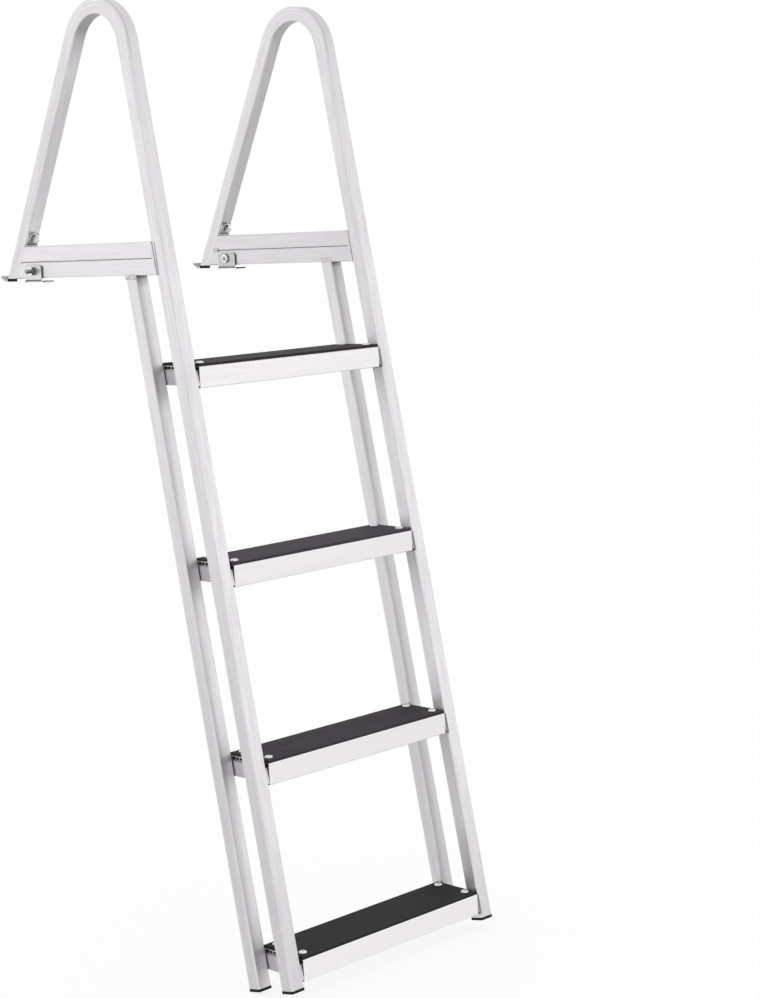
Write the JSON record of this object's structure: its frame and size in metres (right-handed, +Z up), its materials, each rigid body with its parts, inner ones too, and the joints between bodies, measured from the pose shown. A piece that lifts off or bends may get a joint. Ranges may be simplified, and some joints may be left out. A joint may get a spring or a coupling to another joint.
{
  "type": "dock ladder",
  "caption": "Fixed aluminium dock ladder with hooped square-tube handrails, wide black-matted steps and arms with bolt-down plates for the dock edge.",
  "frame": {"origin": "on the dock surface under the left dock bracket's base plate, in line with the bracket's cross bolt", "axes": "+X along the steps from the left side frame to the right one, +Y from the water towards the dock, +Z up"},
  "size_m": [0.4866, 0.6652, 1.5823],
  "materials": {
    "aluminium": "brushed satin",
    "zinc_steel": "bright zinc plate",
    "mat_rubber": "matt, grooved",
    "black_plastic": "matt"
  },
  "bodies": {
    "root": {"left_arm_end_plate": "aluminium", "left_corner_bolt": "zinc_steel", "left_corner_bracket": "zinc_steel", "left_dock_bolt": "zinc_steel", "left_dock_bracket": "aluminium", "left_front_foot_cap": "black_plastic", "left_leg_cap": "black_plastic", "left_lower_arm": "aluminium", "left_rail": "aluminium", "left_rear_foot_cap": "black_plastic", "left_rear_post": "aluminium", "left_upper_arm": "aluminium", "right_arm_end_plate": "aluminium", "right_corner_bolt": "zinc_steel", "right_corner_bracket": "zinc_steel", "right_dock_bolt": "zinc_steel", "right_dock_bracket": "aluminium", "right_front_foot_cap": "black_plastic", "right_leg_cap": "black_plastic", "right_lower_arm": "aluminium", "right_rail": "aluminium", "right_rear_foot_cap": "black_plastic", "right_rear_post": "aluminium", "right_upper_arm": "aluminium", "step_1_bracket_left": "aluminium", "step_1_bracket_right": "aluminium", "step_1_mat": "mat_rubber", "step_1_tread": "aluminium", "step_2_bracket_left": "aluminium", "step_2_bracket_right": "aluminium", "step_2_mat": "mat_rubber", "step_2_tread": "aluminium", "step_3_bracket_left": "aluminium", "step_3_bracket_right": "aluminium", "step_3_mat": "mat_rubber", "step_3_tread": "aluminium", "step_4_bracket_left": "aluminium", "step_4_bracket_right": "aluminium", "step_4_mat": "mat_rubber", "step_4_tread": "aluminium"}
  },
  "joints": []
}
